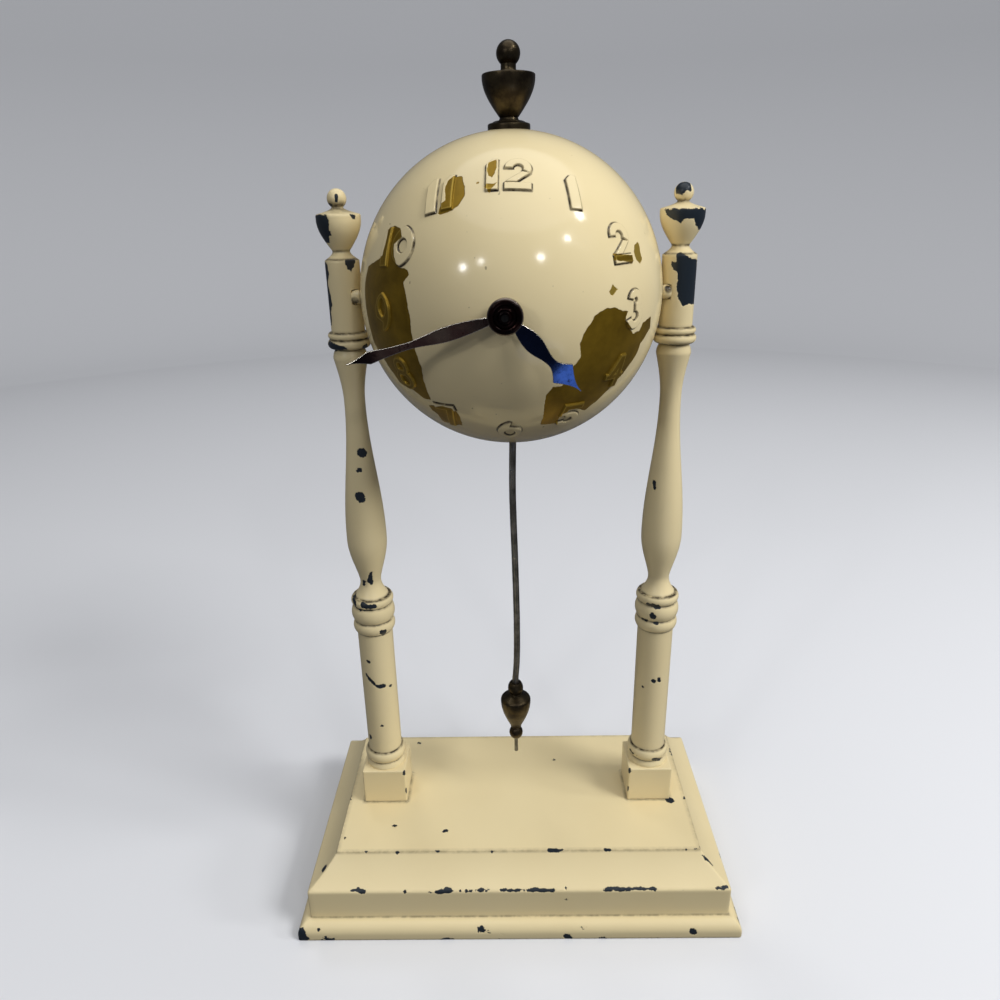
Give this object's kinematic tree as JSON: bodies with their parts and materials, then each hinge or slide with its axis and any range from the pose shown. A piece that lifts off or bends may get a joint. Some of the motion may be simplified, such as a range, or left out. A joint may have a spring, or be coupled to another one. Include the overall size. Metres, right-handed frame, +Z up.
{
  "type": "ball pendulum clock",
  "caption": "Table clock with a spherical embossed dial held between two turned columns on a moulded base, its pendulum hanging from the ball.",
  "frame": {"origin": "middle of the base's flat underside", "axes": "+Z up, the dial faces -Y, +X to the right as the dial is read"},
  "size_m": [0.178, 0.1232, 0.3221],
  "materials": {
    "painted_wood": "worn cream paint over dark lacquer",
    "painted_brass": "glossy cream paint over spun brass, chipped",
    "tarnished_brass": "dark tarnish",
    "movement_brass": "satin",
    "movement_steel": "satin",
    "blued_steel": "blued, nearly black"
  },
  "bodies": {
    "stand": {"base": "painted_wood", "column_left": "painted_wood", "column_right": "painted_wood", "column_screws": "movement_steel", "pivot_stud_left": "painted_brass", "pivot_stud_right": "painted_brass", "pivot_nuts": "movement_brass", "front_shell": "painted_brass", "rear_shell": "painted_brass", "ball_finial": "tarnished_brass", "finial_nut": "movement_brass", "dial_bush": "movement_brass", "dial_posts": "movement_brass", "front_plate": "movement_brass", "back_plate": "movement_brass", "pillars": "movement_brass", "pillar_nuts": "movement_brass", "mainspring": "movement_steel", "minute_stud": "movement_steel", "suspension_cock": "movement_brass", "suspension_spring": "movement_steel"},
    "winding": {"winding_arbor": "movement_steel", "ratchet_wheel": "movement_steel", "winding_key": "movement_steel"},
    "great": {"great_wheel": "movement_brass", "click": "movement_steel"},
    "centre": {"centre_arbor": "movement_steel", "centre_wheel": "movement_brass"},
    "third": {"third_arbor": "movement_steel", "third_wheel": "movement_brass"},
    "escape": {"escape_arbor": "movement_steel", "escape_wheel": "movement_brass"},
    "pendulum": {"pendulum_rod": "tarnished_brass", "crutch": "movement_brass", "pallet_arbor": "movement_steel", "pallet_anchor": "movement_steel"},
    "bob": {"pendulum_bob": "tarnished_brass"},
    "rating": {"rating_nut": "tarnished_brass"},
    "minute": {"cannon_pinion": "movement_steel", "minute_hand": "blued_steel", "hand_nut": "tarnished_brass"},
    "motion": {"minute_wheel": "movement_brass"},
    "hour": {"hour_wheel": "movement_brass", "hour_hand": "blued_steel"}
  },
  "joints": [
    {"name": "pendulum_swing", "type": "hinge", "parent": "stand", "child": "pendulum", "pos_m": [0, -0.0004, 0.2784], "axis": [0.0349, 0.9994, 0], "range_deg": [-4, 4], "deforming": ["suspension_spring"]},
    {"name": "escape_turn", "type": "hinge", "parent": "stand", "child": "escape", "pos_m": [0, -0.0004, 0.2643], "axis": [0.0349, 0.9994, 0], "range_deg": [-3.06, 3.06]},
    {"name": "third_turn", "type": "hinge", "parent": "stand", "child": "third", "pos_m": [-0.01266, 0.00004, 0.25778], "axis": [0.0349, 0.9994, 0], "range_deg": [-0.26609, 0.26609]},
    {"name": "centre_turn", "type": "hinge", "parent": "stand", "child": "centre", "pos_m": [0, -0.0004, 0.2463], "axis": [0.0349, 0.9994, 0], "range_deg": [-0.022807, 0.022807]},
    {"name": "great_turn", "type": "hinge", "parent": "stand", "child": "great", "pos_m": [0.013, -0.00085, 0.23329], "axis": [0.0349, 0.9994, 0], "range_deg": [-0.0025342, 0.0025342]},
    {"name": "winding_turn", "type": "hinge", "parent": "stand", "child": "winding", "pos_m": [0.013, -0.00085, 0.23329], "axis": [0.0349, 0.9994, 0], "continuous": true, "deforming": ["mainspring", "click"]},
    {"name": "minute_hand_turn", "type": "hinge", "parent": "stand", "child": "minute", "pos_m": [0, -0.0004, 0.2463], "axis": [0.0349, 0.9994, 0], "continuous": true},
    {"name": "minute_wheel_turn", "type": "hinge", "parent": "stand", "child": "motion", "pos_m": [-0.0089, -0.00009, 0.23739], "axis": [0.0349, 0.9994, 0], "continuous": true},
    {"name": "hour_hand_turn", "type": "hinge", "parent": "stand", "child": "hour", "pos_m": [0, -0.0004, 0.2463], "axis": [0.0349, 0.9994, 0], "continuous": true},
    {"name": "bob_slide", "type": "slide", "parent": "pendulum", "child": "bob", "axis": [0, 0, 1], "range_m": [-0.0018, 0.0018]},
    {"name": "rating_nut_turn", "type": "hinge", "parent": "bob", "child": "rating", "pos_m": [0, -0.0004, 0.0624], "axis": [0, 0, 1], "range_deg": [-1081, 1081]}
  ],
  "couplings": [
    {"joint": "escape_turn", "follows": "pendulum_swing", "ratio": 0.75},
    {"joint": "third_turn", "follows": "pendulum_swing", "ratio": -0.065217},
    {"joint": "centre_turn", "follows": "pendulum_swing", "ratio": 0.0055901},
    {"joint": "great_turn", "follows": "pendulum_swing", "ratio": -0.00062112},
    {"joint": "minute_wheel_turn", "follows": "minute_hand_turn", "ratio": -0.33333},
    {"joint": "hour_hand_turn", "follows": "minute_hand_turn", "ratio": 0.083333},
    {"joint": "rating_nut_turn", "follows": "bob_slide", "rad_per_m": 10472}
  ]
}
